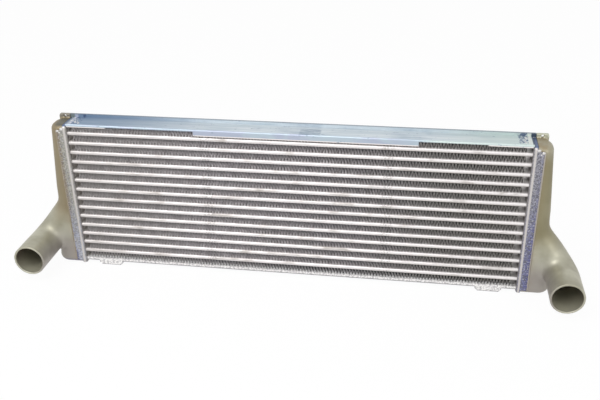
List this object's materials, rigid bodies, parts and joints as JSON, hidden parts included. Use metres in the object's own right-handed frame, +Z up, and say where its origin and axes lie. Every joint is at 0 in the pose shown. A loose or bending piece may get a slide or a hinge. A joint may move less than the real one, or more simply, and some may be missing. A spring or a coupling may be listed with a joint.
{
  "type": "intercooler",
  "caption": "Front-mounted charge air cooler: brazed core of flat tubes and folded fins between cast end tanks, each with a forward-facing hose spigot.",
  "frame": {"origin": "under the middle of the overall box of the cooler, spigots included, on the plane that the tanks and the lower tabs stand on", "axes": "+X along the tubes to the right tank, +Y from the front face, where the spigots point, to the rear, +Z up"},
  "size_m": [0.87, 0.113, 0.2517],
  "materials": {
    "tube_aluminium": "bright brazed, satin",
    "turbulator_aluminium": "plain foil",
    "fin_aluminium": "thin foil, dull",
    "plate_aluminium": "rolled sheet, mottled by brazing",
    "header_aluminium": "pressed sheet, stained by brazing",
    "tank_cast_aluminium": "cast, tumbled satin"
  },
  "bodies": {
    "root": {"tube_01": "tube_aluminium", "tube_02": "tube_aluminium", "tube_03": "tube_aluminium", "tube_04": "tube_aluminium", "tube_05": "tube_aluminium", "tube_06": "tube_aluminium", "tube_07": "tube_aluminium", "tube_08": "tube_aluminium", "tube_09": "tube_aluminium", "tube_10": "tube_aluminium", "tube_11": "tube_aluminium", "tube_12": "tube_aluminium", "tube_13": "tube_aluminium", "tube_14": "tube_aluminium", "turbulator_01": "turbulator_aluminium", "turbulator_02": "turbulator_aluminium", "turbulator_03": "turbulator_aluminium", "turbulator_04": "turbulator_aluminium", "turbulator_05": "turbulator_aluminium", "turbulator_06": "turbulator_aluminium", "turbulator_07": "turbulator_aluminium", "turbulator_08": "turbulator_aluminium", "turbulator_09": "turbulator_aluminium", "turbulator_10": "turbulator_aluminium", "turbulator_11": "turbulator_aluminium", "turbulator_12": "turbulator_aluminium", "turbulator_13": "turbulator_aluminium", "turbulator_14": "turbulator_aluminium", "air_fin_01": "fin_aluminium", "air_fin_02": "fin_aluminium", "air_fin_03": "fin_aluminium", "air_fin_04": "fin_aluminium", "air_fin_05": "fin_aluminium", "air_fin_06": "fin_aluminium", "air_fin_07": "fin_aluminium", "air_fin_08": "fin_aluminium", "air_fin_09": "fin_aluminium", "air_fin_10": "fin_aluminium", "air_fin_11": "fin_aluminium", "air_fin_12": "fin_aluminium", "air_fin_13": "fin_aluminium", "air_fin_14": "fin_aluminium", "air_fin_15": "fin_aluminium", "top_side_plate": "plate_aluminium", "bottom_side_plate": "plate_aluminium", "left_header": "header_aluminium", "right_header": "header_aluminium", "left_tank": "tank_cast_aluminium", "right_tank": "tank_cast_aluminium"}
  },
  "joints": []
}
